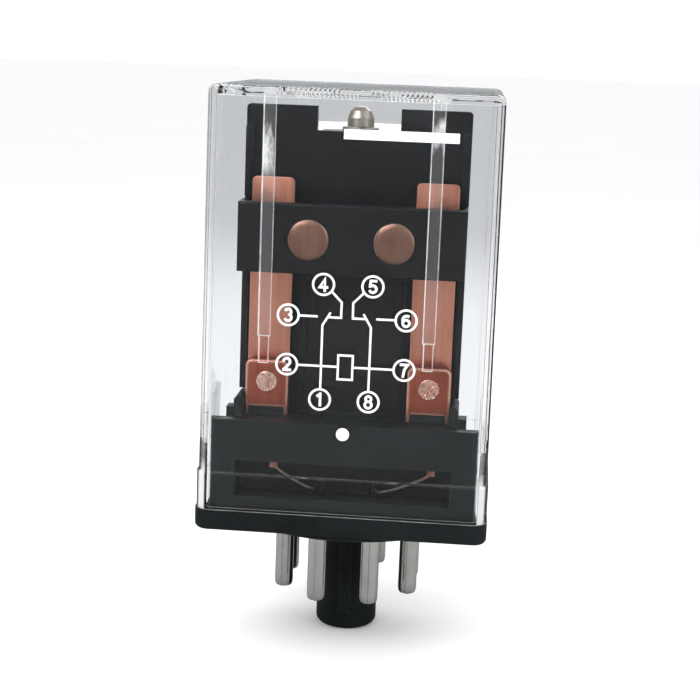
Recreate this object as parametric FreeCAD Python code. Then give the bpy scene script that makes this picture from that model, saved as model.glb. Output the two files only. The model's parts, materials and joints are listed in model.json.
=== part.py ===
import FreeCAD, Part
import os
import math

os.makedirs("parts", exist_ok=True)
V = FreeCAD.Vector

# Plug-in relay with an octal base. Millimetres.
# Origin: on the key post's axis, in the seating plane (underside of the round boss).
# +Z up through the clear cover, -Y is the labelled front, +X to the right.

# ---------------------------------------------------------------- base
flange_hw = 17.7          # half width of the square flange
flange_r = 1.7
boss_r = 16.0             # round seating boss under the flange
boss_h = 1.0
flange_t = 2.6
z_fl = boss_h + flange_t  # top of the flange, 3.6
post_r = 3.95             # key post
post_tip = -15.9
key_w = 1.6               # key rib on the front of the post
key_out = 5.0
pin_pcd = 17.45
pin_r = 1.18
pin_neck_r = 1.0          # the pin is turned down where it sits in the base
pin_shoulder = -0.25
pin_bore = 0.78           # bore from above, which takes the lead
pin_bore_bot = -1.5
pin_tip = -10.25
lead_end = -1.3           # the leads end in the pins' bores
lead_r = 0.2
tail_left = -8.85         # flat tails of the common terminals, seen in the lead window
tail_right = 10.6
well_floor = 4.7
hood_front = -10.4
hood_top = 8.8
pin_collar_r = 1.65
pin_top = 4.2
wall_hw = 16.15           # front wall of the base, just inside the cover
wall_front = -16.1
wall_t = 1.6
wall_top = 14.6
deck_bot = 10.4           # deck that carries the contact set
deck_back = -8.2
deck_hw = 13.6

# ---------------------------------------------------------------- cover
cov_hw_bot = 17.45
cov_hw_top = 17.2
cov_top = 54.2
cov_wall = 1.1
cov_roof = 1.2
cov_r = 2.0
skirt_top = 8.3
skirt_hw = 17.62
grip_n = 13               # finger-grip notches on each side of the middle
grip_x0 = 1.95
grip_pitch = 0.56

# ---------------------------------------------------------------- contact set
con_x = 5.05              # contact centres
con_z = 36.5
blade_x = 9.85            # blade centre line
blade_w = 5.1
blade_front, blade_back = -10.95, -10.65
blade_top = 43.4
flex_z = 21.0             # bend line of each blade
plate_front, plate_back = -9.4, -8.2
frame_hw = 13.5
frame_top = 51.9
notch_hw = 5.0
notch_z = 49.0
bar_front, bar_back = -15.1, -13.3
bar_z0, bar_z1 = 32.4, 40.7

spring_y = -6.75          # axis of the return spring and its screw

# ---------------------------------------------------------------- magnet
coil_y = 6.3
core_r = 4.0
pole_r = 4.6
pole_z = 45.3
yoke_front, yoke_back = -4.9, -3.3
yoke_top = 45.3
yoke_z0, yoke_z1 = 13.0, 14.6
piv_y, piv_z = -4.9, 45.4  # armature edge hinge
arm_angle = 7.0            # armature travel, degrees


# ---------------------------------------------------------------- helpers
def box(x0, x1, y0, y1, z0, z1):
    x0, x1 = min(x0, x1), max(x0, x1)
    y0, y1 = min(y0, y1), max(y0, y1)
    z0, z1 = min(z0, z1), max(z0, z1)
    return Part.makeBox(x1 - x0, y1 - y0, z1 - z0, V(x0, y0, z0))


def cylz(r, x, y, z0, z1):
    return Part.makeCylinder(r, z1 - z0, V(x, y, z0), V(0, 0, 1))


def cyly(r, x, y0, y1, z):
    return Part.makeCylinder(r, y1 - y0, V(x, y0, z), V(0, 1, 0))


def cylx(r, x0, x1, y, z):
    return Part.makeCylinder(r, x1 - x0, V(x0, y, z), V(1, 0, 0))


def square_wire(hw, r, z, hy=None, cx=0.0, cy=0.0):
    hy = hw if hy is None else hy
    k = r * (1 - math.sqrt(0.5))
    e = []
    c = [(hw, hy), (-hw, hy), (-hw, -hy), (hw, -hy)]
    s = [(1, 1), (-1, 1), (-1, -1), (1, -1)]
    pts = []
    for (x, y), (sx, sy) in zip(c, s):
        a = V(cx + x, cy + y - sy * r, z)
        b = V(cx + x - sx * r, cy + y, z)
        m = V(cx + x - sx * k, cy + y - sy * k, z)
        if sx * sy > 0:
            pts.append((a, m, b))
        else:
            pts.append((b, m, a))
    for i in range(4):
        a, m, b = pts[i]
        e.append(Part.Arc(a, m, b).toShape())
        e.append(Part.LineSegment(b, pts[(i + 1) % 4][0]).toShape())
    return Part.Wire(e)


def slab(hw, r, z0, z1, hy=None, cx=0.0, cy=0.0):
    f = Part.Face(square_wire(hw, r, z0, hy, cx, cy))
    return f.extrude(V(0, 0, z1 - z0))


def drafted(hw0, r0, z0, hw1, r1, z1):
    return Part.makeLoft([square_wire(hw0, r0, z0), square_wire(hw1, r1, z1)], True, True)


def prism_xz(pts, y0, y1):
    w = Part.makePolygon([V(x, y0, z) for x, z in pts] + [V(pts[0][0], y0, pts[0][1])])
    return Part.Face(w).extrude(V(0, y1 - y0, 0))


def plate_xz(x0, x1, z0, z1, y0, y1, r):
    """Flat plate in the XZ plane with its two upper corners rounded."""
    k = r * (1 - math.sqrt(0.5))
    p = [V(x0, y0, z0), V(x1, y0, z0), V(x1, y0, z1 - r), V(x1 - r, y0, z1), V(x0 + r, y0, z1), V(x0, y0, z1 - r)]
    e = [
        Part.LineSegment(p[0], p[1]).toShape(),
        Part.LineSegment(p[1], p[2]).toShape(),
        Part.Arc(p[2], V(x1 - k, y0, z1 - k), p[3]).toShape(),
        Part.LineSegment(p[3], p[4]).toShape(),
        Part.Arc(p[4], V(x0 + k, y0, z1 - k), p[5]).toShape(),
        Part.LineSegment(p[5], p[0]).toShape(),
    ]
    return Part.Face(Part.Wire(e)).extrude(V(0, y1 - y0, 0))


def revolve_y(pts, x, z):
    """Body of revolution about the line parallel to Y through (x, z): pts are (radius, y)."""
    w = Part.makePolygon([V(x + r, y, z) for r, y in pts] + [V(x + pts[0][0], pts[0][1], z)])
    return Part.Face(w).revolve(V(x, 0, z), V(0, 1, 0), 360)


def revolve_z(pts, x, y):
    w = Part.makePolygon([V(x + r, y, z) for r, z in pts] + [V(x + pts[0][0], y, pts[0][1])])
    return Part.Face(w).revolve(V(x, y, 0), V(0, 0, 1), 360)


def wire_run(points, r):
    """Round wire through the points, with ball corners."""
    parts = []
    pv = [V(*p) for p in points]
    for a, b in zip(pv[:-1], pv[1:]):
        d = b.sub(a)
        parts.append(Part.makeCylinder(r, d.Length, a, d))
    for p in pv[1:-1]:
        parts.append(Part.makeSphere(r, p))
    s = parts[0]
    return s.fuse(parts[1:]).removeSplitter()


def mirror_x(s):
    return s.mirror(V(0, 0, 0), V(1, 0, 0))


def save(name, shape):
    if shape.ShapeType == "Compound" and len(shape.Solids) == 1:
        shape = shape.Solids[0]
    assert shape.isValid(), name
    assert len(shape.Solids) >= 1, name
    shape.exportStep("parts/%s.step" % name)
    b = shape.BoundBox
    print("%-24s solids %2d vol %9.3f  x %.2f..%.2f y %.2f..%.2f z %.2f..%.2f" % (
        name, len(shape.Solids), shape.Volume, b.XMin, b.XMax, b.YMin, b.YMax, b.ZMin, b.ZMax))
    return shape


def pin_xy(k):
    """Centre of pin k, numbered clockwise from the key as seen from below."""
    a = math.radians(22.5 + 45.0 * (k - 1))
    r = pin_pcd / 2
    return r * math.sin(a), -r * math.cos(a)


# ================================================================ base
base = slab(flange_hw, flange_r, boss_h, z_fl)
low = [e for e in base.Edges if e.BoundBox.ZMax < boss_h + 0.01]
base = base.makeFillet(0.7, low)
boss = cylz(boss_r, 0, 0, 0, boss_h + 0.2)
boss = boss.makeChamfer(0.25, [e for e in boss.Edges if e.BoundBox.ZMax < 0.01])
base = base.fuse(boss)
post = cylz(post_r, 0, 0, post_tip, 0.5)
post = post.makeFillet(0.9, [e for e in post.Edges if e.BoundBox.ZMax < post_tip + 0.01])
key = box(-key_w / 2, key_w / 2, -key_out, -2.0, post_tip + 2.2, 0.5)
key = key.makeChamfer(0.6, [e for e in key.Edges if e.BoundBox.ZMax < post_tip + 2.21 and e.BoundBox.YMax < -key_out + 0.01])
base = base.fuse([post, key])
# moulding recess round the foot of the key post
base = base.cut(cylz(6.4, 0, 0, -0.01, 0.5).cut(cylz(5.3, 0, 0, -0.02, 0.6)))
# front wall with the lead window, its returns at the sides, and the snap tabs
front = box(-wall_hw, wall_hw, wall_front, wall_front + wall_t, z_fl - 0.1, wall_top)
front = front.cut(box(-13.1, 13.1, wall_front - 1, wall_front + wall_t + 1, 5.2, 9.6))
tab_r = box(wall_hw - 1.1, wall_hw, wall_front, -6.4, z_fl - 0.1, 12.1)
lug_r = prism_xz([(wall_hw - 0.2, 8.75), (wall_hw + 0.85, 8.75), (wall_hw + 0.85, 9.4), (wall_hw - 0.2, 11.2)], -13.4, -7.4)
rear = box(-12.5, 12.5, 14.9, 16.1, z_fl - 0.1, 12.0)
lug_b = Part.Face(Part.makePolygon([V(-4, 15.9, 8.75), V(-4, 16.95, 8.75), V(-4, 16.95, 9.4), V(-4, 15.9, 11.2), V(-4, 15.9, 8.75)])).extrude(V(8, 0, 0))
# deck behind the front wall, on two cheeks
deck = box(-deck_hw, deck_hw, wall_front + 0.5, deck_back, deck_bot, wall_top)
cheek = box(13.15, deck_hw, wall_front + 0.5, deck_back, z_fl - 0.1, deck_bot + 0.5)
foot = box(12.55, deck_hw, -13.9, deck_back, wall_top - 0.5, 17.0)
foot = foot.makeChamfer(0.4, [e for e in foot.Edges if e.BoundBox.ZMin > 16.99 and e.BoundBox.XMin > deck_hw - 0.01])
tongue = box(blade_x - 2.1, blade_x + 2.1, -12.3, -11.1, wall_top - 0.5, 15.45)
tongue2 = box(blade_x - 2.1, blade_x + 2.1, -11.75, -11.1, 15.0, 17.1)
step = box(13.6, 14.6, -13.2, -11.2, wall_top - 2.0, 15.5)
adds = [front, tab_r, mirror_x(tab_r), rear, deck, cheek, mirror_x(cheek), foot, mirror_x(foot),
        tongue, mirror_x(tongue), tongue2, mirror_x(tongue2), step, mirror_x(step),
        box(13.0, wall_hw, wall_front + 0.5, -11.2, z_fl - 0.1, wall_top - 1.6),
        box(-wall_hw, -13.0, wall_front + 0.5, -11.2, z_fl - 0.1, wall_top - 1.6),
        # floor of the lead window, and behind it the hood over the front pins
        box(-13.15, 13.15, wall_front + 0.5, -10.0, z_fl - 0.1, well_floor),
        box(-13.15, 13.15, hood_front, -8.4, z_fl - 0.1, hood_top),
        box(-5.6, 5.6, -8.5, -6.2, z_fl - 0.1, hood_top),
        # pillar under the yoke's front edge, and the two screw pillars
        box(-2.6, 2.6, -5.2, -1.9, z_fl - 0.1, yoke_z0),
        cylz(1.9, 11.1, coil_y, z_fl - 0.1, yoke_z0), cylz(1.9, -11.1, coil_y, z_fl - 0.1, yoke_z0)]
upstand = adds[0].fuse(adds[1:])
trim = slab(wall_hw, 1.15, z_fl - 0.1, 20)
lugs = [lug_r, mirror_x(lug_r), lug_b]
base = base.fuse([upstand.common(trim)] + lugs)
# slots for the bracket legs and the blade feet, pockets for the frame's tenons, pin holes, screw holes
cuts = []
for s in (1, -1):
    for e in (-1, 1):
        xc = s * (blade_x + e * (2.65 - 0.25))
        cuts.append(box(xc - 0.27, xc + 0.27, -12.32, -10.98, 12.5, 18.0))
    cuts.append(box(s * (blade_x - 2.6), s * (blade_x + 2.6), -10.97, -10.13, deck_bot - 1, 18.0))
    cuts.append(box(s * 2.98, s * 6.02, plate_front - 0.02, deck_back + 0.5, 11.5, wall_top + 0.1))
    cuts.append(cylz(0.8, s * 11.1, coil_y, 6.0, yoke_z0 + 1))
    # passage through the hood for the lead to the front pin
    cuts.append(box(s * 2.85, s * 4.75, hood_front - 0.2, -7.5, pin_top, 5.6))
for k in range(1, 9):
    x, y = pin_xy(k)
    cuts.append(cylz(pin_neck_r + 0.02, x, y, -1, z_fl + 1))
    cuts.append(cylz(pin_r + 0.02, x, y, -1, 0.3))
    cuts.append(cylz(pin_collar_r + 0.02, x, y, z_fl, pin_top + 0.02))
base = base.cut(cuts[0].fuse(cuts[1:]))
base = save("base", base.removeSplitter())

# ================================================================ cover
outer = drafted(cov_hw_bot, cov_r, z_fl, cov_hw_top, cov_r, cov_top)
rim = [e for e in outer.Edges if e.BoundBox.ZMin > cov_top - 0.01]
outer = outer.makeFillet(0.9, rim)
skirt = slab(skirt_hw, cov_r + 0.1, z_fl, skirt_top)
skirt = skirt.makeChamfer(0.15, [e for e in skirt.Edges if e.BoundBox.ZMin > skirt_top - 0.01])
outer = outer.fuse(skirt)
inner = drafted(cov_hw_bot - cov_wall, cov_r - cov_wall, z_fl - 1, cov_hw_top - cov_wall, cov_r - cov_wall, cov_top - cov_roof)
cover = outer.cut(inner)
cuts = []
for s in (1, -1):
    # moulded grooves on the front and the back, running out through the top edge
    for g in (1, -1):
        cuts.append(box(s * 9.0, s * 10.4, g * 16.95, g * 18.5, 25.2, cov_top + 1))
        cuts.append(box(s * 9.15, s * 10.25, g * 17.2, g * 18.5, 22.0, 25.3))
    # side snap windows
    cuts.append(box(s * 15.5, s * 18.5, -13.8, -7.0, skirt_top, 11.7))
cuts.append(box(-4.4, 4.4, 15.5, 18.5, skirt_top, 11.7))
cover = cover.cut(cuts[0].fuse(cuts[1:])).removeSplitter()
# finger grip: V notches across the rounded top edge, between the grooves
teeth = []
for g in (1, -1):
    for s in (1, -1):
        for i in range(grip_n):
            x = s * (grip_x0 + grip_pitch * i)
            apex = V(x, g * (cov_hw_top - 0.48), cov_top - 0.48)
            out = V(0, g * 0.7071, 0.7071)
            along = V(0, -g * 0.7071, 0.7071)
            tri = [apex, apex + out * 0.34 + V(0.26, 0, 0), apex + out * 0.34 - V(0.26, 0, 0)]
            tri = [q - along * 1.5 for q in tri]
            teeth.append(Part.Face(Part.makePolygon(tri + [tri[0]])).extrude(along * 3.0))
cover = cover.cut(teeth)
cover = save("cover", cover)

# ================================================================ pins
for k in range(1, 9):
    x, y = pin_xy(k)
    prof = [(0, pin_tip), (0.95, pin_tip), (1.10, pin_tip + 0.2), (pin_r, pin_tip + 0.6), (pin_r, pin_shoulder), (pin_neck_r, pin_shoulder), (pin_neck_r, z_fl), (pin_collar_r, z_fl),
            (pin_collar_r, pin_top - 0.15), (pin_collar_r - 0.15, pin_top), (pin_bore, pin_top), (pin_bore, pin_bore_bot), (0, pin_bore_bot)]
    save("pin_%d" % k, revolve_z(prof, x, y))
sol = []
for k in range(1, 9):
    x, y = pin_xy(k)
    sol.append(revolve_z([(0, pin_tip - 0.32), (0.35, pin_tip - 0.26), (0.62, pin_tip - 0.1), (0.78, pin_tip), (0, pin_tip)], x, y))
save("pin_solder", Part.makeCompound(sol))

# ================================================================ contact frame (black upright plate)
fr = box(-frame_hw, frame_hw, plate_front, plate_back, 17.3, frame_top)
fr = fr.makeFillet(0.5, [e for e in fr.Edges if e.BoundBox.ZMin > frame_top - 0.01 and e.BoundBox.XLength < 0.01])
fr = fr.fuse([
    box(-12.45, 12.45, plate_front, plate_back, wall_top, 17.4),
    box(3.0, 6.0, plate_front, plate_back, 11.6, wall_top + 0.1),
    box(-6.0, -3.0, plate_front, plate_back, 11.6, wall_top + 0.1)])
fr = fr.cut(box(-notch_hw, notch_hw, plate_front - 1, plate_back + 1, notch_z, frame_top + 1))
# shelf at the foot of the notch: the spring screw hangs from it
fr = fr.fuse(box(-notch_hw + 0.4, notch_hw - 0.4, plate_front + 0.2, -4.3, 47.8, notch_z))
# stiffening ribs up both posts and along the lower edge
for s in (1, -1):
    fr = fr.fuse([box(s * 12.6, s * 13.5, plate_front - 0.5, plate_front + 0.1, 40.9, 49.2),
                  box(s * 12.7, s * 13.5, plate_front - 0.9, plate_front + 0.1, 17.3, 32.2),
                  box(s * 5.6, s * 6.4, plate_front - 0.5, plate_front + 0.1, 17.0, 31.6)])
cuts = []
for s in (1, -1):
    cuts.append(box(s * 8.5, s * 11.1, plate_front - 1, plate_back + 1, 36.5, 39.6))
    cuts.append(cyly(1.0, s * con_x, plate_front - 1, plate_back + 1, con_z))
    cuts.append(box(s * 12.55, s * 12.95, plate_front - 1, plate_back + 1, 35.15, 37.85))
cuts.append(cylz(0.8, 0, spring_y, 47, 50))
fr = fr.cut(cuts[0].fuse(cuts[1:]))
save("contact_frame", fr.removeSplitter())

# ================================================================ contact bridge (crossbar with the open contacts)
br = box(-frame_hw, frame_hw, bar_front, bar_back, bar_z0, bar_z1)
br = br.makeFillet(0.3, [e for e in br.Edges if e.BoundBox.YMax < bar_front + 0.01])
for s in (1, -1):
    br = br.fuse(box(s * 12.98, s * frame_hw, bar_back - 0.5, plate_front, bar_z0, bar_z1))
cuts = []
for s in (1, -1):
    cuts.append(cyly(1.0, s * con_x, bar_front - 1, bar_back + 1, con_z))
br = br.cut(cuts[0].fuse(cuts[1:]))
save("contact_bridge", br.removeSplitter())

# ================================================================ the two contact sets
def both(name, shape):
    save(name + "_right", shape)
    save(name + "_left", mirror_x(shape))


# clamp bracket: an inverted U over the blade's foot
x0, x1 = blade_x - 2.65, blade_x + 2.65
b = plate_xz(x0, x1, 15.5, 21.3, -12.3, -11.8, 0.8)
ring = plate_xz(x0, x1, 12.6, 21.3, -12.3, -11.1, 0.8).cut(plate_xz(x0 + 0.5, x1 - 0.5, 12.0, 20.8, -13, -10, 0.4))
b = b.fuse(ring)
b = b.cut(cyly(0.9, blade_x, -13, -11, 18.7))
both("common_bracket", b.removeSplitter())

# staked rivet through the bracket and the common terminal
r = revolve_y([(0, -12.62), (0.7, -12.56), (1.15, -12.42), (1.25, -12.3), (0.88, -12.3), (0.88, -10.15), (1.2, -10.15), (1.1, -9.85), (0, -9.8)], blade_x, 18.7)
both("bracket_rivet", r)

# common terminal: strip behind the bracket, down through the deck
t = box(blade_x - 2.55, blade_x + 2.55, -10.95, -10.15, 9.8, 20.2)
t = t.cut(cyly(0.9, blade_x, -12, -9, 18.7))
both("common_terminal", t)

# moving blade
bl = plate_xz(blade_x - blade_w / 2, blade_x + blade_w / 2, 20.5, blade_top, blade_front, blade_back, 0.6)
bl = bl.fuse(box(3.5, blade_x, blade_front, blade_back, 33.6, 39.4))
bl = bl.removeSplitter()
bl = bl.cut(cyly(0.8, con_x, -12, -9, con_z))
both("moving_blade", bl)

# double-sided contact button on the blade
c = revolve_y([(0, -11.55), (1.05, -11.52), (1.5, -11.3), (1.5, blade_front), (0.79, blade_front), (0.79, blade_back), (1.5, blade_back), (1.5, -10.15), (1.3, -10.05), (0, -10.05)], con_x, con_z)
both("blade_contact", c)

# open contact: rivet through the crossbar, its big head in front
c = revolve_y([(0, -15.62), (1.4, -15.56), (2.15, -15.42), (2.42, -15.22), (2.42, bar_front), (0.98, bar_front), (0.98, -13.0), (1.5, -13.0), (1.5, -12.7), (1.2, -12.55), (0, -12.55)], con_x, con_z)
both("no_contact", c)

# open terminal: behind the crossbar, round the side of the plate and down its back, to its pin
x3, y3 = pin_xy(3)
t = box(3.4, 12.9, bar_back, -13.0, 35.2, 37.8)
t = t.fuse([box(12.6, 12.9, bar_back, -7.9, 35.2, 37.8),
            box(11.4, 12.9, plate_back, -7.9, 7.0, 37.8),
            box(11.4, 12.6, plate_back, y3 + 0.6, 7.0, 7.4),
            box(x3 - 0.7, 12.6, y3 - 0.6, y3 + 0.6, 7.0, 7.4),
            cylz(0.45, x3, y3, lead_end, 7.1)])
t = t.removeSplitter().cut(cyly(1.0, con_x, -14, -12, con_z))
both("no_terminal", t)

# closed contact: rivet through the plate
c = revolve_y([(0, -10.0), (1.3, -10.0), (1.5, -9.85), (1.5, plate_front), (0.98, plate_front), (0.98, -7.9), (1.3, -7.9), (1.15, -7.55), (0, -7.5)], con_x, con_z)
both("nc_contact", c)

# closed terminal: down the back of the plate, then back to its pin
x4, y4 = pin_xy(4)
t = box(con_x - 1.45, con_x + 1.45, plate_back, -7.9, 9.0, 38.0)
t = t.fuse([box(3.6, 5.2, plate_back, y4 + 0.6, 9.0, 9.4),
            box(x4 - 0.6, 5.2, y4 - 0.6, y4 + 0.6, 9.0, 9.4),
            cylz(0.45, x4, y4, lead_end, 9.1)])
t = t.removeSplitter().cut(cyly(1.0, con_x, -9, -7, con_z))
both("nc_terminal", t)

# leads from the common terminals to their pins, seen through the window of the front wall:
# a flat tail under the terminal, then a thin wire through the hood
x1p, y1p = pin_xy(1)
for side, s, xt in (("left", -1, tail_left), ("right", 1, tail_right)):
    prof = [(-10.8, 9.8), (-10.4, 9.8), (-11.2, 7.75), (-11.55, 7.65)]
    tail = Part.Face(Part.makePolygon([V(xt - 0.47, y, z) for y, z in prof + prof[:1]])).extrude(V(0.94, 0, 0))
    ld = wire_run([(xt, -11.25, 8.2), (xt - s * 0.25, -11.35, 7.75), (s * 4.1, -10.9, 5.05), (s * 3.85, -10.0, 5.0), (s * abs(x1p), y1p, 4.95), (s * abs(x1p), y1p, lead_end)], lead_r)
    save("common_lead_" + side, tail.fuse(ld).removeSplitter())

# ================================================================ magnet
yk = box(-8.5, 8.5, yoke_front, yoke_back, yoke_z0, yoke_top)
yk = yk.fuse([box(-9.0, 9.0, yoke_front, 14.6, yoke_z0, yoke_z1),
              box(-12.9, 12.9, 4.1, 8.5, yoke_z0, yoke_z1),
              box(4.6, 6.0, -4.3, yoke_back, yoke_top - 1, 47.9),
              box(-6.0, -4.6, -4.3, yoke_back, yoke_top - 1, 47.9)])
yk = yk.cut(cylz(2.9, 0, coil_y, 12, 16).fuse([cylz(1.05, 11.1, coil_y, 12, 16), cylz(1.05, -11.1, coil_y, 12, 16)]))
save("yoke", yk.removeSplitter())

scr = []
for s in (1, -1):
    h = revolve_z([(0, 15.9), (0.9, 15.8), (1.5, 15.35), (1.65, yoke_z1), (1.0, yoke_z1), (1.0, yoke_z0 + 0.03), (0.78, yoke_z0 + 0.03), (0.78, 7.4), (0, 6.9)], s * 11.1, coil_y)
    h = h.cut(box(s * 11.1 - 2, s * 11.1 + 2, coil_y - 0.25, coil_y + 0.25, 15.35, 16.2))
    scr.append(h)
save("yoke_screws", Part.makeCompound(scr))

core = revolve_z([(0, pole_z), (pole_r - 0.15, pole_z), (pole_r, pole_z - 0.15), (pole_r, 44.0), (core_r, 44.0), (core_r, yoke_z1), (2.88, yoke_z1), (2.88, yoke_z0), (2.5, yoke_z0), (2.5, 10.7), (2.3, 10.5), (0, 10.5)], 0, coil_y)
core = core.cut(cylz(3.7, 0, coil_y, 44.6, 46).cut(cylz(2.9, 0, coil_y, 44, 47)))
save("core", core)
save("shading_ring", cylz(3.68, 0, coil_y, 44.62, 45.2).cut(cylz(2.92, 0, coil_y, 44, 46)))

hexw = Part.makePolygon([V(3.75 * math.cos(math.radians(a)), coil_y + 3.75 * math.sin(math.radians(a)), 11.0) for a in range(0, 361, 60)])
nut = Part.Face(hexw).extrude(V(0, 0, 2.0)).cut(cylz(2.52, 0, coil_y, 10, 14))
save("core_nut", nut)

bob = cylz(4.75, 0, coil_y, yoke_z1 + 0.05, 43.95)
bob = bob.fuse([slab(9.3, 0.6, yoke_z1 + 0.05, 15.85, 9.4, 0, coil_y), slab(9.3, 0.6, 42.75, 43.95, 9.4, 0, coil_y),
                box(9.0, 10.7, -2.7, -0.5, yoke_z1 + 0.3, 16.9), box(-10.7, -9.0, -2.7, -0.5, yoke_z1 + 0.3, 16.9)])
bob = bob.cut(cylz(core_r + 0.05, 0, coil_y, 10, 50))
bob = bob.cut(cylz(0.35, 9.95, -1.6, 10, 18).fuse(cylz(0.35, -9.95, -1.6, 10, 18)))
save("bobbin", bob.removeSplitter())
save("coil_winding", cylz(8.5, 0, coil_y, 15.9, 42.7).cut(cylz(4.8, 0, coil_y, 15, 44)))
save("coil_tape", cylz(8.75, 0, coil_y, 19.0, 39.6).cut(cylz(8.53, 0, coil_y, 15, 44)))

# coil leads: from the winding round the bobbin's post and down to pins 2 and 7
x2, y2 = pin_xy(2)
cl = wire_run([(8.3, 2.6, 16.6), (9.95, -0.2, 17.4), (9.95, -1.6, 17.4), (9.95, -1.6, 6.4), (x2, y2, 5.2), (x2, y2, lead_end)], 0.3)
cl = cl.cut(cylz(8.52, 0, coil_y, 15, 44))
cl = max(cl.Solids, key=lambda s: s.Volume)
both("coil_lead", cl)

# ================================================================ armature with its card
a = box(-7.5, 7.5, -6.5, 12.3, 45.45, 47.05)
a = a.makeFillet(1.2, [e for e in a.Edges if e.BoundBox.YMin > 12.29 and e.BoundBox.XLength < 0.01 and e.BoundBox.ZLength > 1])
for s in (1, -1):
    a = a.cut(box(s * 4.35, s * 6.25, -4.75, -2.7, 44, 49))
a = a.cut(box(3.95, 9, -8, -5.0, 44, 49)).cut(box(-9, -3.95, -8, -5.0, 44, 49))
a.rotate(V(0, piv_y, piv_z), V(1, 0, 0), arm_angle)
leg = box(-3.95, 3.95, -6.5, -5.3, 41.2, 46.5).fuse(box(-3.0, 3.0, -6.2, -5.6, 38.8, 41.3))
a = a.fuse(leg)
a = a.cut(box(-1.55, 1.55, -9, -5.42, 43.2, 49))
a = a.fuse(box(-1.9, 1.9, -7.6, -6.3, 42.3, 43.2))
save("armature", a.removeSplitter())

cd = box(-11.2, 11.2, -6.5, -5.3, 38.3, 41.2)
cd = cd.fuse([box(8.3, 11.2, -6.5, -5.3, 37.0, 38.4), box(-11.2, -8.3, -6.5, -5.3, 37.0, 38.4)])
cd = cd.cut(box(-3.0, 3.0, -6.2, -5.6, 38.8, 41.3))
for s in (1, -1):
    cd = cd.fuse([box(s * 8.7, s * 10.9, -9.8, -6.4, 37.2, 38.8), cylx(0.8, min(s * 8.7, s * 10.9), max(s * 8.7, s * 10.9), -9.8, 38.0)])
save("armature_card", cd.removeSplitter())

# return spring: a small compression spring between the armature's front lug and the shelf
sp_r, wire_r, turns = 1.05, 0.15, 5
z0, z1 = 43.2 + wire_r + 0.02, 47.8 - wire_r - 0.02
pitch = (z1 - z0) / turns


def coil_point(t):
    return V(sp_r * math.cos(t), spring_y + sp_r * math.sin(t), z0 + pitch * t / (2 * math.pi))


coil_arcs = []
for i in range(6 * turns):
    t0, t1 = math.radians(60 * i), math.radians(60 * (i + 1))
    coil_arcs.append(Part.Arc(coil_point(t0), coil_point((t0 + t1) / 2), coil_point(t1)).toShape())
prof = Part.Wire(Part.makeCircle(wire_r, coil_point(0), coil_arcs[0].tangentAt(coil_arcs[0].FirstParameter)))
spring = Part.Wire(coil_arcs).makePipeShell([prof], True, False)
save("return_spring", spring)

# the screw that hangs through the shelf and guides the spring, with its washer
s = revolve_z([(0, 52.0), (0.7, 51.9), (1.25, 51.45), (1.6, 50.6), (1.65, 49.55), (0.72, 49.55), (0.72, 44.6), (0.45, 44.3), (0, 44.3)], 0, spring_y)
save("spring_screw", s)
save("screw_washer", cylz(2.2, 0, spring_y, 49.02, 49.53).cut(cylz(0.8, 0, spring_y, 48, 50)))
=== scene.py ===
import json
import math
import random

import bmesh
import bpy
from mathutils import Matrix, Vector


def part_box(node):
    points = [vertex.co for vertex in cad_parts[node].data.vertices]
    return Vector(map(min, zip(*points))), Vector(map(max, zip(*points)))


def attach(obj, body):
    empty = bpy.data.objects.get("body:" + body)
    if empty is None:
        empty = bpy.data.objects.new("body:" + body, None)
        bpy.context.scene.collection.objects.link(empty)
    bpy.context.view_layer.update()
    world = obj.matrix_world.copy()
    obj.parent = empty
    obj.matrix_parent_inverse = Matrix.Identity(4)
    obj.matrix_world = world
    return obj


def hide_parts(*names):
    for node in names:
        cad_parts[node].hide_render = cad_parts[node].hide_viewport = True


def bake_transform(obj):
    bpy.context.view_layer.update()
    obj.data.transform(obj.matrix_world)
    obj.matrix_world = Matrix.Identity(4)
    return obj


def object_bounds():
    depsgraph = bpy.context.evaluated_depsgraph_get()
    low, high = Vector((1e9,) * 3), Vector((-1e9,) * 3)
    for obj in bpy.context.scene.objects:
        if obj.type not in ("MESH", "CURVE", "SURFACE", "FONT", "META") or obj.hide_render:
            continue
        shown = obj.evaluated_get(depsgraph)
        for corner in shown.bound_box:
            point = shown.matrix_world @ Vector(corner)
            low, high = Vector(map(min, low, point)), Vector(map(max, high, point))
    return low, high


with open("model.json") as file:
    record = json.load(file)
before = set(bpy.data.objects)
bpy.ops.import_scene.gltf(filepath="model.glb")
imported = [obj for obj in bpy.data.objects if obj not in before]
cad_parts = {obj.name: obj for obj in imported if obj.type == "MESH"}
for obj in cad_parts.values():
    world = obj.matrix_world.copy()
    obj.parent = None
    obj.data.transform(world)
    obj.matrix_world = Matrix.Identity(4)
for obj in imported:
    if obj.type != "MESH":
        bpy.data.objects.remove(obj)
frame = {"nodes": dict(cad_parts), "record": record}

CAD_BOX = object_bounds()
N = frame["nodes"]
BODY = {n: b for b, ns in frame["record"]["behaviour"]["bodies"].items() for n in ns}
SLOT = {s["node"]: s["material_slot"] for s in frame["record"]["subparts"]}
MM = 0.001
rnd = random.Random(11)
scene = bpy.context.scene


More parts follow.
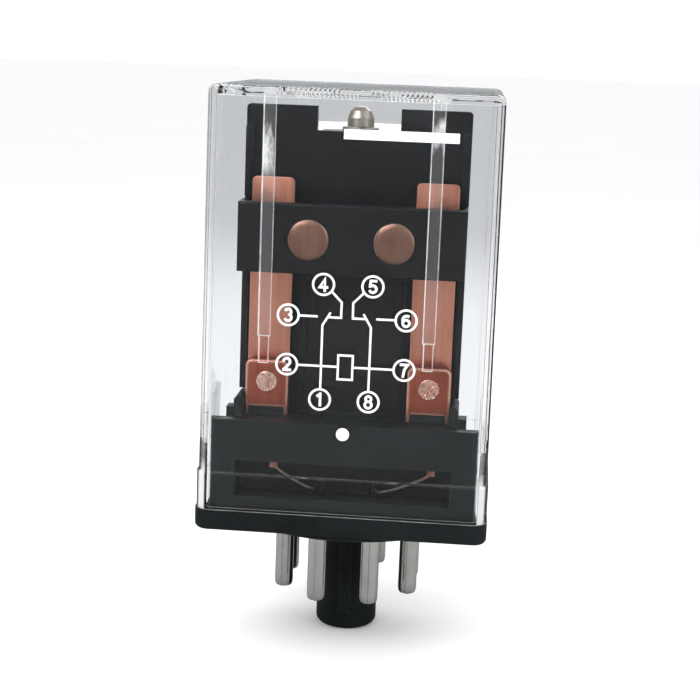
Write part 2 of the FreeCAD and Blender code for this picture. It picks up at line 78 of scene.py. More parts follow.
# ------------------------------------------------------------------ node helpers
class Build:
    """A node material under construction. Coordinates are metres in the part's own frame."""

    def __init__(self, name):
        self.mat = bpy.data.materials.new(name)
        self.mat.use_nodes = True
        self.nt = self.mat.node_tree
        self.nt.nodes.clear()
        self.out = self.node("ShaderNodeOutputMaterial")
        self.bsdf = self.node("ShaderNodeBsdfPrincipled")
        self.link(self.bsdf.outputs[0], self.out.inputs["Surface"])
        self.co = self.node("ShaderNodeTexCoord").outputs["Object"]

    def node(self, kind, **kw):
        n = self.nt.nodes.new(kind)
        for k, v in kw.items():
            setattr(n, k, v)
        return n

    def link(self, a, b):
        self.nt.links.new(a, b)

    def put(self, name, value):
        s = self.bsdf.inputs[name]
        if isinstance(value, bpy.types.NodeSocket):
            self.link(value, s)
        else:
            s.default_value = value

    def scaled(self, x, y, z, loc=(0, 0, 0), rot=(0, 0, 0)):
        m = self.node("ShaderNodeMapping")
        m.inputs["Location"].default_value = loc
        m.inputs["Rotation"].default_value = rot
        m.inputs["Scale"].default_value = (x, y, z)
        self.link(self.co, m.inputs["Vector"])
        return m.outputs[0]

    def noise(self, scale, detail=3.0, rough=0.5, vec=None, distort=0.0):
        n = self.node("ShaderNodeTexNoise")
        n.inputs["Scale"].default_value = scale
        n.inputs["Detail"].default_value = detail
        n.inputs["Roughness"].default_value = rough
        n.inputs["Distortion"].default_value = distort
        self.link(vec if vec is not None else self.co, n.inputs["Vector"])
        return n.outputs["Fac"]

    def voronoi(self, scale, vec=None, feature="F1"):
        n = self.node("ShaderNodeTexVoronoi", feature=feature)
        n.inputs["Scale"].default_value = scale
        self.link(vec if vec is not None else self.co, n.inputs["Vector"])
        return n.outputs["Distance"]

    def remap(self, fac, a, b, c, d):
        n = self.node("ShaderNodeMapRange")
        for i, v in zip((1, 2, 3, 4), (a, b, c, d)):
            n.inputs[i].default_value = v
        self.link(fac, n.inputs[0])
        return n.outputs[0]

    def math(self, op, a, b=None, clamp=False):
        n = self.node("ShaderNodeMath", operation=op, use_clamp=clamp)
        for s, v in zip(n.inputs, (a, b)):
            if v is None:
                continue
            if isinstance(v, bpy.types.NodeSocket):
                self.link(v, s)
            else:
                s.default_value = v
        return n.outputs[0]

    def mix(self, fac, a, b):
        n = self.node("ShaderNodeMix", data_type="RGBA")
        for s, v in zip((n.inputs[0], n.inputs[6], n.inputs[7]), (fac, a, b)):
            if isinstance(v, bpy.types.NodeSocket):
                self.link(v, s)
            elif isinstance(v, (int, float)):
                s.default_value = v
            else:
                s.default_value = (*v, 1) if len(v) == 3 else v
        return n.outputs[2]

    def bump(self, height, distance, strength=1.0, normal=None):
        n = self.node("ShaderNodeBump")
        n.inputs["Distance"].default_value = distance
        n.inputs["Strength"].default_value = strength
        self.link(height, n.inputs["Height"])
        if normal is not None:
            self.link(normal, n.inputs["Normal"])
        return n.outputs[0]

    def edges(self, radius, a=0.9, b=0.995):
        """1 along edges, used for wear and for painted highlights, 0 on flats."""
        bev = self.node("ShaderNodeBevel", samples=4)
        bev.inputs["Radius"].default_value = radius
        geo = self.node("ShaderNodeNewGeometry")
        dot = self.node("ShaderNodeVectorMath", operation="DOT_PRODUCT")
        self.link(bev.outputs[0], dot.inputs[0])
        self.link(geo.outputs["Normal"], dot.inputs[1])
        return self.remap(dot.outputs["Value"], a, b, 1.0, 0.0)


def plastic(name, dark, light, rough=(0.34, 0.5), grain=5200, grain_h=0.0000014, dust=(0.10, 0.105, 0.11), coat=0.0, painted_sheen_edge=None, spec=0.5):
    b = Build(name)
    flow = b.noise(140, 4, 0.6)
    col = b.mix(b.remap(flow, 0.35, 0.7, 0.0, 1.0), dark, light)
    speck = b.remap(b.noise(3600, 2, 0.5), 0.73, 0.80, 0.0, 0.25)
    col = b.mix(speck, col, dust)
    if painted_sheen_edge is not None:
        # lighter colour along the edges: a painted sheen
        edge_wear_and_sheen = b.math("MULTIPLY", b.edges(0.00018), b.remap(b.noise(900, 3), 0.4, 0.62, 0.0, 0.8), clamp=True)
        col = b.mix(edge_wear_and_sheen, col, painted_sheen_edge)
    b.put("Base Color", col)
    b.put("Roughness", b.remap(b.noise(700, 4, 0.6), 0.3, 0.7, rough[0], rough[1]))
    b.put("IOR", 1.5)
    b.put("Specular IOR Level", spec)
    b.put("Coat Weight", coat)
    n1 = b.bump(b.noise(grain, 3, 0.6), grain_h)
    b.put("Normal", b.bump(b.noise(160, 2), 0.00003, 0.5, n1))
    return b.mat


def rolled_metal(name, dark, mid, light, rough=(0.26, 0.42), along="z", stri=5200, stri_h=0.000004, blotch=260, edge=None, edge_r=0.00016, metallic=1.0, edge_noise=(0.3, 0.55)):
    """Rolled strip: fine lines along one axis, slow tarnish, brighter rubbed edges."""
    b = Build(name)
    k = {"z": (1, 1, 0.02), "x": (0.02, 1, 1), "y": (1, 0.02, 1)}[along]
    lines = b.noise(stri, 3, 0.65, b.scaled(*k))
    broad = b.noise(stri * 0.16, 3, 0.6, b.scaled(*k, loc=(0.3, 0.1, 0.7)))
    tarnish = b.noise(blotch, 5, 0.62, distort=0.6)
    col = b.mix(b.remap(tarnish, 0.35, 0.68, 0, 1), dark, mid)
    col = b.mix(b.remap(broad, 0.35, 0.7, 0, 0.55), col, light)
    if edge is not None:
        edge_wear_and_sheen = b.math("MULTIPLY", b.edges(edge_r), b.remap(b.noise(1300, 3), edge_noise[0], edge_noise[1], 0.35, 1.0), clamp=True)
        col = b.mix(edge_wear_and_sheen, col, edge)
    b.put("Base Color", col)
    b.put("Metallic", metallic)
    r = b.math("ADD", b.remap(lines, 0.3, 0.7, rough[0], rough[1]), b.remap(tarnish, 0.4, 0.75, -0.03, 0.08))
    b.put("Roughness", r)
    b.put("Normal", b.bump(b.math("ADD", lines, b.math("MULTIPLY", broad, 0.6)), stri_h))
    return b.mat


def zinc(name, dark, light, rough=(0.28, 0.45), tint=(0.62, 0.57, 0.46)):
    """Zinc-plated steel: crystalline mottle, fine directionless scratches and a faint yellow passivation."""
    b = Build(name)
    cells = b.voronoi(1400)
    mott = b.noise(420, 5, 0.65)
    col = b.mix(b.remap(mott, 0.32, 0.68, 0, 1), dark, light)
    col = b.mix(b.remap(b.noise(95, 3), 0.5, 0.72, 0, 0.45), col, tint)
    b.put("Base Color", col)
    b.put("Metallic", 1.0)
    scr = b.noise(2600, 4, 0.7, b.scaled(1, 0.06, 0.9, rot=(0.2, 0.5, 0.7)))
    b.put("Roughness", b.math("ADD", b.remap(mott, 0.3, 0.7, rough[0], rough[1]), b.remap(cells, 0, 0.8, -0.03, 0.06)))
    b.put("Normal", b.bump(b.math("ADD", scr, b.math("MULTIPLY", cells, 0.3)), 0.000005))
    return b.mat


def turned(name, centre, axis, dark, light, rough=(0.24, 0.4), pitch=5200, metallic=1.0):
    """Turned or pressed metal with rings about an axis."""
    b = Build(name)
    sep = b.node("ShaderNodeSeparateXYZ")
    b.link(b.scaled(1, 1, 1, loc=(-centre[0], -centre[1], -centre[2])), sep.inputs[0])
    i, j = {"y": (0, 2), "z": (0, 1)}[axis]
    rr = b.math("SQRT", b.math("ADD", b.math("POWER", sep.outputs[i], 2.0), b.math("POWER", sep.outputs[j], 2.0)))
    wob = b.math("ADD", b.math("MULTIPLY", rr, pitch), b.math("MULTIPLY", b.noise(600, 3), 2.2))
    rings = b.math("SINE", wob)
    tarn = b.noise(420, 5, 0.65, distort=0.8)
    col = b.mix(b.remap(tarn, 0.34, 0.68, 0, 1), dark, light)
    b.put("Base Color", col)
    b.put("Metallic", metallic)
    b.put("Roughness", b.remap(tarn, 0.3, 0.7, rough[0], rough[1]))
    b.put("Normal", b.bump(b.math("ADD", b.math("MULTIPLY", rings, 0.5), b.noise(2500, 3)), 0.000006))
    return b.mat


# ------------------------------------------------------------------ materials
M = {}
M["base_plastic"] = plastic("base_plastic", (0.0050, 0.0068, 0.0074), (0.0090, 0.0118, 0.0126), rough=(0.36, 0.52), dust=(0.03, 0.033, 0.035), painted_sheen_edge=(0.04, 0.045, 0.048), spec=0.13)
M["frame_plastic"] = plastic("frame_plastic", (0.0056, 0.0062, 0.0070), (0.0098, 0.0110, 0.0125), rough=(0.3, 0.46), grain=6500, dust=(0.03, 0.032, 0.035), painted_sheen_edge=(0.04, 0.045, 0.05), spec=0.13)
M["bobbin_nylon"] = plastic("bobbin_nylon", (0.60, 0.57, 0.49), (0.72, 0.69, 0.61), rough=(0.36, 0.5), grain=3800, dust=(0.5, 0.46, 0.38), painted_sheen_edge=(0.8, 0.78, 0.72))
M["blade_copper"] = rolled_metal("blade_copper", (0.40, 0.160, 0.105), (0.48, 0.205, 0.142), (0.58, 0.285, 0.21), rough=(0.34, 0.48), edge=(0.90, 0.62, 0.5), edge_r=0.00012)
M["bracket_copper"] = rolled_metal("bracket_copper", (0.20, 0.046, 0.026), (0.28, 0.068, 0.040), (0.38, 0.115, 0.075), rough=(0.34, 0.48), blotch=330, edge=(1.0, 0.66, 0.52), edge_r=0.00062, edge_noise=(0.2, 0.42))
M["rivet_copper"] = rolled_metal("rivet_copper", (0.13, 0.068, 0.048), (0.20, 0.108, 0.08), (0.30, 0.17, 0.13), rough=(0.34, 0.52), edge=(0.62, 0.42, 0.33), edge_r=0.00034)
M["contact_silver"] = zinc("contact_silver", (0.66, 0.65, 0.62), (0.84, 0.83, 0.80), rough=(0.25, 0.4), tint=(0.60, 0.55, 0.47))
b = Build("lead_copper")
sep = b.node("ShaderNodeSeparateXYZ")
b.link(b.co, sep.inputs[0])
l1 = b.noise(1500, 4, 0.6)
cop = b.mix(b.remap(l1, 0.35, 0.65, 0, 1), (0.50, 0.235, 0.15), (0.74, 0.40, 0.28))
tin = b.mix(b.remap(l1, 0.35, 0.65, 0, 1), (0.33, 0.29, 0.24), (0.50, 0.45, 0.38))
b.put("Base Color", b.mix(b.remap(b.math("ADD", sep.outputs[2], b.math("MULTIPLY", l1, 0.0006)), 0.0074, 0.0081, 0, 1), tin, cop))
b.put("Metallic", 0.9)
b.put("Roughness", b.remap(b.noise(2600, 3), 0.3, 0.7, 0.32, 0.5))
b.put("Normal", b.bump(l1, 0.00001))
M["lead_copper"] = b.mat
M["ring_copper"] = rolled_metal("ring_copper", (0.60, 0.30, 0.20), (0.76, 0.42, 0.29), (0.86, 0.54, 0.4), rough=(0.28, 0.42), along="x")
M["steel"] = zinc("steel", (0.44, 0.44, 0.43), (0.62, 0.62, 0.60))
M["screw_steel"] = zinc("screw_steel", (0.22, 0.205, 0.18), (0.36, 0.34, 0.30), rough=(0.3, 0.48), tint=(0.30, 0.26, 0.20))
M["spring_steel"] = rolled_metal("spring_steel", (0.42, 0.42, 0.41), (0.55, 0.55, 0.54), (0.7, 0.7, 0.69), rough=(0.2, 0.32), along="x")
M["pin_nickel"] = rolled_metal("pin_nickel", (0.66, 0.64, 0.60), (0.80, 0.78, 0.74), (0.92, 0.91, 0.88), rough=(0.10, 0.20), stri=7000, blotch=420, edge=(0.86, 0.85, 0.82), edge_r=0.00012)

b = Build("solder")
s1 = b.noise(1500, 4, 0.6)
b.put("Base Color", b.mix(b.remap(s1, 0.35, 0.65, 0, 1), (0.40, 0.40, 0.40), (0.62, 0.62, 0.63)))
b.put("Metallic", 1.0)
b.put("Roughness", b.remap(s1, 0.3, 0.7, 0.3, 0.5))
b.put("Normal", b.bump(b.noise(1800, 3), 0.00005))
M["solder"] = b.mat

# enamelled magnet wire; its turns are in the mesh
b = Build("winding")
w1 = b.noise(900, 4, 0.6)
b.put("Base Color", b.mix(b.remap(w1, 0.3, 0.7, 0, 1), (0.30, 0.075, 0.022), (0.52, 0.17, 0.055)))
b.put("Metallic", 0.55)
b.put("Roughness", b.remap(b.noise(2400, 3), 0.3, 0.7, 0.2, 0.36))
b.put("Coat Weight", 0.6)
b.put("Coat Roughness", 0.12)
b.put("Normal", b.bump(w1, 0.00001))
M["winding"] = b.mat

# amber film tape
b = Build("tape")
t1 = b.noise(170, 4, 0.6, distort=0.4)
col = b.mix(b.remap(t1, 0.3, 0.7, 0, 1), (0.42, 0.20, 0.028), (0.62, 0.335, 0.07))
col = b.mix(b.remap(b.noise(3200, 2), 0.62, 0.72, 0, 0.35), col, (0.75, 0.52, 0.2))
b.put("Base Color", col)
b.put("Roughness", b.remap(b.noise(420, 4), 0.3, 0.7, 0.16, 0.34))
b.put("Coat Weight", 0.4)
b.put("Coat Roughness", 0.1)
b.put("Normal", b.bump(b.noise(260, 3, 0.5, b.scaled(1, 1, 0.25)), 0.00008, 0.7))
M["tape"] = b.mat

# woven sleeve of the coil leads
b = Build("lead_sleeve")
sep = b.node("ShaderNodeSeparateXYZ")
b.link(b.co, sep.inputs[0])
weave = b.math("MULTIPLY", b.math("SINE", b.math("MULTIPLY", b.math("ADD", sep.outputs[2], sep.outputs[0]), 21000)), b.math("SINE", b.math("MULTIPLY", b.math("SUBTRACT", sep.outputs[2], sep.outputs[0]), 21000)))
b.put("Base Color", b.mix(b.remap(weave, -1, 1, 0, 1), (0.52, 0.48, 0.36), (0.80, 0.77, 0.68)))
b.put("Roughness", b.remap(weave, -1, 1, 0.7, 0.5))
b.put("Normal", b.bump(weave, 0.00004))
M["lead_sleeve"] = b.mat

# white pad print
b = Build("print_white")
p1 = b.noise(2600, 4, 0.6)
b.put("Base Color", b.mix(b.remap(p1, 0.3, 0.7, 0, 1), (0.83, 0.84, 0.83), (0.93, 0.935, 0.93)))
b.put("Roughness", b.remap(b.noise(5200, 3), 0.3, 0.7, 0.42, 0.6))
b.put("Normal", b.bump(p1, 0.000006))
M["print_white"] = b.mat

# clear moulded cover: light from lamps passes straight through to what is inside
b = Build("clear_cover")
haze = b.noise(90, 4, 0.6)
hair = b.noise(1500, 4, 0.75, b.scaled(1, 1, 0.05, rot=(0.1, 0.6, 0.2)))
b.put("Base Color", (0.936, 0.942, 0.948, 1))
b.put("Transmission Weight", 1.0)
b.put("IOR", 1.14)
b.put("Coat Weight", 0.22)
b.put("Coat IOR", 1.49)
b.put("Coat Roughness", 0.03)
b.put("Roughness", b.math("ADD", b.remap(haze, 0.35, 0.75, 0.004, 0.02), b.remap(hair, 0.66, 0.74, 0.0, 0.05), clamp=True))
b.put("Normal", b.bump(b.noise(60, 2), 0.00008, 0.5))
clear = b.node("ShaderNodeBsdfTransparent")
clear.inputs["Color"].default_value = (0.90, 0.91, 0.915, 1)
lp = b.node("ShaderNodeLightPath")
# painted highlight: the moulded corners get fine white lines from a white diffuse colour
painted_white_edge_bsdf = b.node("ShaderNodeBsdfDiffuse")
painted_white_edge_bsdf.inputs["Color"].default_value = (0.86, 0.87, 0.88, 1)
painted_highlight_mask = b.math("MULTIPLY", b.edges(0.00016, 0.84, 0.985), b.remap(b.noise(700, 3), 0.3, 0.6, 0.55, 0.95), clamp=True)
# the painted white edge lines are weaker on the grip and round the skirt's step
height = b.node("ShaderNodeSeparateXYZ")
b.link(b.co, height.inputs[0])
painted_highlight_mask = b.math("MULTIPLY", painted_highlight_mask, b.remap(height.outputs[2], 0.0531, 0.0534, 1.0, 0.12))
step = b.math("MULTIPLY", b.remap(height.outputs[2], 0.0044, 0.0048, 0.0, 1.0), b.remap(height.outputs[2], 0.0122, 0.0128, 1.0, 0.0))
painted_highlight_mask = b.math("MULTIPLY", painted_highlight_mask, b.remap(step, 0.0, 1.0, 1.0, 0.2))
# painted highlight: the guide grooves get a faint painted white, and painted reflection streaks near their upper ends
ax = b.math("ABSOLUTE", height.outputs[0])
ay = b.math("ABSOLUTE", height.outputs[1])
lane = b.math("MULTIPLY", b.remap(ax, 0.00897, 0.00905, 0.0, 1.0), b.remap(ax, 0.01035, 0.01043, 1.0, 0.0))
lane = b.math("MULTIPLY", lane, b.remap(ay, 0.0164, 0.0165, 0.0, 1.0))
lane = b.math("MULTIPLY", lane, b.remap(height.outputs[2], 0.0250, 0.0254, 0.0, 1.0))
streak = b.remap(b.noise(420, 4, 0.6, b.scaled(1, 1, 0.35)), 0.46, 0.62, 0.0, 0.55)
high = b.math("MULTIPLY", b.remap(height.outputs[2], 0.0435, 0.0455, 0.0, 1.0), b.remap(height.outputs[2], 0.0505, 0.0515, 1.0, 0.0))
painted_groove_streaks = b.math("MULTIPLY", lane, b.math("ADD", 0.05, b.math("MULTIPLY", streak, high)))
painted_highlight_mask = b.math("ADD", painted_highlight_mask, painted_groove_streaks, clamp=True)
# painted highlight: the cover's vertical corners get painted white too, strongest near the bottom
wall = b.math("MULTIPLY", b.remap(ax, 0.01632, 0.01655, 0.0, 1.0), b.remap(ay, 0.01655, 0.0169, 0.0, 1.0))
wall = b.math("MULTIPLY", wall, b.remap(height.outputs[2], 0.0082, 0.0100, 0.62, 0.16))
painted_highlight_mask = b.math("ADD", painted_highlight_mask, wall, clamp=True)
# the painted white highlights are mixed over the clear cover
edged = b.node("ShaderNodeMixShader")
b.link(painted_highlight_mask, edged.inputs[0])
b.link(b.bsdf.outputs[0], edged.inputs[1])
b.link(painted_white_edge_bsdf.outputs[0], edged.inputs[2])
mixs = b.node("ShaderNodeMixShader")
b.link(lp.outputs["Is Shadow Ray"], mixs.inputs[0])
b.link(edged.outputs[0], mixs.inputs[1])
b.link(clear.outputs[0], mixs.inputs[2])
b.link(mixs.outputs[0], b.out.inputs["Surface"])
M["clear_cover"] = b.mat


# ------------------------------------------------------------------ mesh helpers
def make(name, bm, mat, smooth=35.0):
    me = bpy.data.meshes.new(name)
    bmesh.ops.recalc_face_normals(bm, faces=bm.faces)
    bm.to_mesh(me)
    bm.free()
    me.materials.append(M[mat])
    ob = bpy.data.objects.new(name, me)
    scene.collection.objects.link(ob)
    if smooth is not None:
        for p in me.polygons:
            p.use_smooth = True
        me.set_sharp_from_angle(angle=math.radians(smooth))
    return ob


def stand_for(ob, *nodes, body=None, slot=None):
    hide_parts(*nodes)
    if body is not False:
        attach(ob, body or BODY[nodes[0]])
    return ob


def softened(node, width, segments=2, angle=30.0, mat=None, join=0.4):
    """The node's own shape with its hard edges rolled over by width (mm)."""
    src = N[node].data
    bm = bmesh.new()
    bm.from_mesh(src)
    bmesh.ops.remove_doubles(bm, verts=bm.verts, dist=2e-6)
    bmesh.ops.dissolve_limit(bm, angle_limit=math.radians(join), verts=bm.verts, edges=bm.edges, delimit={"NORMAL"})
    bmesh.ops.dissolve_degenerate(bm, dist=1e-6, edges=bm.edges)
    hard = [e for e in bm.edges if len(e.link_faces) == 2 and e.calc_face_angle(0.0) > math.radians(angle)]
    bmesh.ops.bevel(bm, geom=hard, offset=width * MM, offset_type="OFFSET", segments=segments, profile=0.5, affect="EDGES", clamp_overlap=True, loop_slide=True)
    bmesh.ops.triangulate(bm, faces=[f for f in bm.faces if len(f.verts) > 4])
    ob = make(node + "_finished", bm, mat or SLOT[node], 38.0)
    return stand_for(ob, node)


def lathe_rings(bm, rings, closed=False):
    """Faces between consecutive rings of vertices (lists of the same length)."""
    n = len(rings[0])
    for a, c in zip(rings[:-1], rings[1:]):
        for i in range(n):
            j = (i + 1) % n
            bm.faces.new((a[i], a[j], c[j], c[i]))
    if closed:
        a, c = rings[-1], rings[0]
        for i in range(n):
            j = (i + 1) % n
            bm.faces.new((a[i], a[j], c[j], c[i]))


def tube(name, points, radius, mat, res=10, sides=14, scale=None):
    """A smooth round wire through the points (mm), as a mesh."""
    cu = bpy.data.curves.new(name, "CURVE")
    cu.dimensions = "3D"
    sp = cu.splines.new("NURBS")
    sp.points.add(len(points) - 1)
    for p, q in zip(sp.points, points):
        p.co = (q[0] * MM, q[1] * MM, q[2] * MM, 1)
    sp.order_u = 3
    sp.use_endpoint_u = True
    sp.resolution_u = res
    cu.bevel_depth = radius * MM
    cu.bevel_resolution = max(1, sides // 4)
    cu.use_fill_caps = True
    tmp = bpy.data.objects.new(name + "_path", cu)
    scene.collection.objects.link(tmp)
    bpy.context.view_layer.update()
    me = bpy.data.meshes.new_from_object(tmp.evaluated_get(bpy.context.evaluated_depsgraph_get()))
    bpy.data.objects.remove(tmp)
    me.name = name
    bm = bmesh.new()
    bm.from_mesh(me)
    bmesh.ops.remove_doubles(bm, verts=bm.verts, dist=1e-7)
    return make(name, bm, mat, 50.0)


# ------------------------------------------------------------------ camera
cam_data = bpy.data.cameras.new("camera")
cam_data.sensor_width = 36.0
cam_data.lens = 79.14
cam_data.clip_start, cam_data.clip_end = 0.01, 20.0
cam = bpy.data.objects.new("camera", cam_data)
scene.collection.objects.link(cam)
yaw, pitch, roll = -0.0767066, 0.1935489, 0.0385170
fwd = Vector((math.sin(yaw) * math.cos(pitch), math.cos(yaw) * math.cos(pitch), -math.sin(pitch)))
right = Vector((math.cos(yaw), -math.sin(yaw), 0.0))
up = right.cross(fwd)
r2 = right * math.cos(roll) + up * math.sin(roll)
u2 = -right * math.sin(roll) + up * math.cos(roll)
rot = Matrix((r2, u2, -fwd)).transposed()
cam.matrix_world = Matrix.Translation((0.0141075, -0.1939799, 0.0587768)) @ rot.to_4x4()
scene.camera = cam

# ------------------------------------------------------------------ floor, light
floor_z = CAD_BOX[0].z
bm = bmesh.new()
ring_r = [0.0, 0.05, 0.12, 0.3, 0.8, 2.0, 5.0]
centre = bm.verts.new((0, 0, floor_z))
prev = None
for r in ring_r[1:]:
    cur = [bm.verts.new((r * math.cos(2 * math.pi * i / 64), r * math.sin(2 * math.pi * i / 64), floor_z)) for i in range(64)]
    for i in range(64):
        j = (i + 1) % 64
        if prev is None:
            bm.faces.new((centre, cur[i], cur[j]))
        else:
            bm.faces.new((prev[i], cur[i], cur[j], prev[j]))
    prev = cur
me = bpy.data.meshes.new("floor")
bm.to_mesh(me)
bm.free()
floor = bpy.data.objects.new("floor", me)
scene.collection.objects.link(floor)
b = Build("floor_pale")
f1 = b.noise(9, 3)
white = b.mix(b.remap(f1, 0.3, 0.7, 0, 1), (0.925, 0.93, 0.935), (0.95, 0.952, 0.955))
b.put("Base Color", white)
b.put("Roughness", 0.85)
b.put("Specular IOR Level", 0.1)
lp = b.node("ShaderNodeLightPath")
# mirror reflections see the floor painted dark grey: painted shade in reflections
floor_painted_dark_reflection = b.node("ShaderNodeBsdfDiffuse")
floor_painted_dark_reflection.inputs["Color"].default_value = (0.26, 0.265, 0.27, 1)
mixs = b.node("ShaderNodeMixShader")
b.link(b.math("MULTIPLY", lp.outputs["Is Glossy Ray"], b.math("SUBTRACT", 1.0, lp.outputs["Is Transmission Ray"])), mixs.inputs[0])
b.link(b.bsdf.outputs[0], mixs.inputs[1])
b.link(floor_painted_dark_reflection.outputs[0], mixs.inputs[2])
# seen through the clear cover the floor is painted a darker grey: painted shade behind the cover
floor_painted_shade_through_cover = b.node("ShaderNodeBsdfDiffuse")
floor_painted_shade_through_cover.inputs["Color"].default_value = (0.60, 0.605, 0.61, 1)
mixt = b.node("ShaderNodeMixShader")
b.link(lp.outputs["Is Transmission Ray"], mixt.inputs[0])
b.link(mixs.outputs[0], mixt.inputs[1])
b.link(floor_painted_shade_through_cover.outputs[0], mixt.inputs[2])
b.link(mixt.outputs[0], b.out.inputs["Surface"])
me.materials.append(b.mat)

world = bpy.data.worlds.new("studio")
world.use_nodes = True
scene.world = world
wn = world.node_tree
bg = wn.nodes["Background"]
bg.inputs["Color"].default_value = (0.985, 0.99, 1.0, 1)
bg.inputs["Strength"].default_value = 1.07
# mirror reflections see a darker room than the lamps and the backdrop
room = wn.nodes.new("ShaderNodeBackground")
room.inputs["Color"].default_value = (0.94, 0.97, 1.0, 1)
room.inputs["Strength"].default_value = 0.38
path = wn.nodes.new("ShaderNodeLightPath")
inv = wn.nodes.new("ShaderNodeMath")
inv.operation = "SUBTRACT"
inv.inputs[0].default_value = 1.0
wn.links.new(path.outputs["Is Transmission Ray"], inv.inputs[1])
both = wn.nodes.new("ShaderNodeMath")
both.operation = "MULTIPLY"
wn.links.new(path.outputs["Is Glossy Ray"], both.inputs[0])
wn.links.new(inv.outputs[0], both.inputs[1])
wmix = wn.nodes.new("ShaderNodeMixShader")
wn.links.new(both.outputs[0], wmix.inputs[0])
wn.links.new(bg.outputs[0], wmix.inputs[1])
wn.links.new(room.outputs[0], wmix.inputs[2])
veil = wn.nodes.new("ShaderNodeBackground")
veil.inputs["Color"].default_value = (0.98, 0.99, 1.0, 1)
veil.inputs["Strength"].default_value = 0.78
wmix2 = wn.nodes.new("ShaderNodeMixShader")
wn.links.new(path.outputs["Is Transmission Ray"], wmix2.inputs[0])
wn.links.new(wmix.outputs[0], wmix2.inputs[1])
wn.links.new(veil.outputs[0], wmix2.inputs[2])
wn.links.new(wmix2.outputs[0], wn.nodes["World Output"].inputs["Surface"])


def area(name, size, loc, aim, power, color=(1, 1, 1)):
    li = bpy.data.lights.new(name, "AREA")
    li.shape = "RECTANGLE"
    li.size, li.size_y = size
    li.energy = power
    li.color = color
    ob = bpy.data.objects.new(name, li)
    scene.collection.objects.link(ob)
    ob.location = loc
    ob.rotation_euler = (Vector(aim) - Vector(loc)).to_track_quat("-Z", "Y").to_euler()
    return ob


area("key", (0.22, 0.16), (-0.17, -0.20, 0.26), (0, 0, 0.03), 0.75, (1.0, 0.99, 0.97))
area("fill", (0.20, 0.20), (0.26, -0.14, 0.16), (0, 0, 0.03), 0.30, (0.96, 0.98, 1.0))
area("back", (0.30, 0.12), (0.05, 0.26, 0.24), (0, 0, 0.03), 0.55, (1, 1, 1))

# ------------------------------------------------------------------ CAD nodes that stay, with their finishes
for n, ob in N.items():
    for i in range(max(1, len(ob.material_slots))):
        if len(ob.material_slots) == 0:
            ob.data.materials.append(M[SLOT[n]])
        else:
            ob.material_slots[i].material = M[SLOT[n]]

for n, w, seg in [
    ("base", 0.14, 2), ("contact_frame", 0.14, 2), ("contact_bridge", 0.16, 2), ("armature_card", 0.12, 2),
    ("yoke", 0.14, 2), ("armature", 0.14, 2), ("core_nut", 0.16, 2), ("bobbin", 0.12, 2),
    ("no_terminal_left", 0.05, 2), ("no_terminal_right", 0.05, 2), ("nc_terminal_left", 0.05, 2), ("nc_terminal_right", 0.05, 2),
    ("common_terminal_left", 0.06, 2), ("common_terminal_right", 0.06, 2),
    ("moving_blade_left", 0.05, 2), ("moving_blade_right", 0.05, 2),
    ("common_bracket_left", 0.16, 3), ("common_bracket_right", 0.16, 3),
    ("no_contact_left", 0.14, 3), ("no_contact_right", 0.14, 3),
    ("nc_contact_left", 0.08, 2), ("nc_contact_right", 0.08, 2),
    ("blade_contact_left", 0.08, 2), ("blade_contact_right", 0.08, 2),
    ("screw_washer", 0.08, 2), ("shading_ring", 0.06, 2), ("yoke_screws", 0.06, 2),
]:
    softened(n, w, seg)


# ------------------------------------------------------------------ pins: rolled tube with its seam, tip rolled in
def pin(k):
    lo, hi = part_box("pin_%d" % k)
    cx, cy = (lo.x + hi.x) / 2 / MM, (lo.y + hi.y) / 2 / MM
    tip = lo.z / MM
    seam = -math.pi / 2 + rnd.uniform(-0.25, 0.25)
    sides = 56
    prof = [(0.04, tip + 0.1), (0.72, tip + 0.1), (0.80, tip + 0.03), (0.88, tip), (0.98, tip + 0.03), (1.06, tip + 0.12), (1.12, tip + 0.28), (1.16, tip + 0.48), (1.18, tip + 0.75)]
    z = tip + 1.2
    while z < -0.7:
        prof.append((1.18 + rnd.uniform(-0.006, 0.006), z))
        z += 0.8
    prof += [(1.18, -0.4), (1.16, -0.28), (1.10, -0.25), (1.0, -0.24), (1.0, 0.4), (1.0, 3.5), (1.04, 3.6), (1.62, 3.62), (1.65, 3.7), (1.65, 4.05), (1.58, 4.18), (1.5, 4.2), (0.86, 4.2), (0.78, 4.14)]
    inner = [(0.78, 3.0), (0.78, 0.0), (0.78, -1.4), (0.70, -1.5), (0.04, -1.5)]
    bm = bmesh.new()
    rings = []
    for r, zz in prof + inner:
        ring = []
        for i in range(sides):
            # vertices gather round the seam so that its groove is sharp
            u = i / sides * 2 - 1
            a = seam + math.pi * (0.18 * u + 0.82 * u ** 3)
            off = abs(math.pi * (0.18 * u + 0.82 * u ** 3)) * r
            d = 0.0
            if r > 1.05 and zz < 0.0:
                d = 0.13 * max(0.0, 1 - off / 0.085) - 0.012 * math.exp(-((off - 0.16) / 0.07) ** 2)
            rr = r - d
            ring.append(bm.verts.new(((cx + rr * math.cos(a)) * MM, (cy + rr * math.sin(a)) * MM, zz * MM)))
        rings.append(ring)
    lathe_rings(bm, rings)
    bm.faces.new(rings[0])
    bm.faces.new(list(reversed(rings[-1])))
    return stand_for(make("pin_%d_tube" % k, bm, "pin_nickel", 50.0), "pin_%d" % k)


for k in range(1, 9):
    pin(k)

